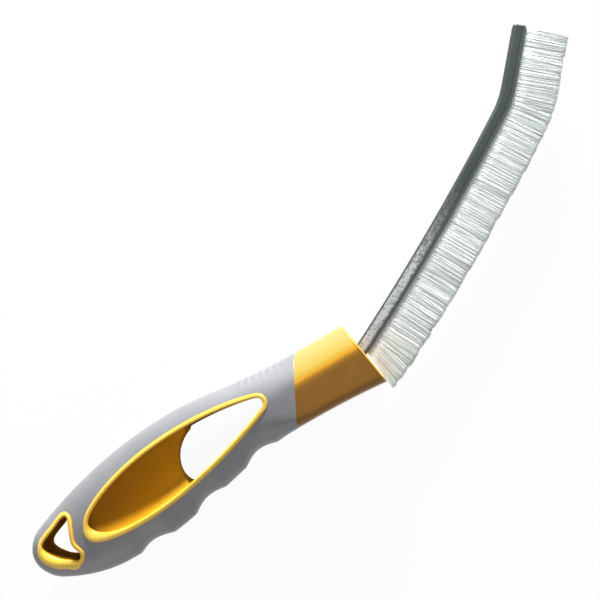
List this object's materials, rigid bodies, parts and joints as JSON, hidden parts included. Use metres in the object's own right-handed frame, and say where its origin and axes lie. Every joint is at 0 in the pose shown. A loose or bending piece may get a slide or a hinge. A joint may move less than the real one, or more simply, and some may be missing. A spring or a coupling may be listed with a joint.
{
  "type": "crevice brush",
  "caption": "Hand brush with a bent, narrow metal-backed bristle strip and a two-tone contoured handle with a see-through thumb opening and a hang hole.",
  "frame": {"origin": "middle of the whole brush's box, on the surface that it lies on", "axes": "+X along the handle from the butt to the head, +Y towards the spine, +Z through the thickness; the brush lies on its side"},
  "size_m": [0.2742, 0.1033, 0.024],
  "materials": {
    "amber_plastic": "smooth moulded polypropylene, semi-gloss",
    "soft_grip": "satin thermoplastic rubber",
    "strip_metal": "dull galvanised sheet",
    "wire_metal": "drawn wire",
    "nylon": "fine translucent filaments"
  },
  "bodies": {
    "root": {"handle_core": "amber_plastic", "soft_grip": "soft_grip", "strip_channel": "strip_metal", "core_wire": "wire_metal", "bristles_lower": "nylon", "bristles_middle": "nylon", "bristles_tip": "nylon"}
  },
  "joints": []
}
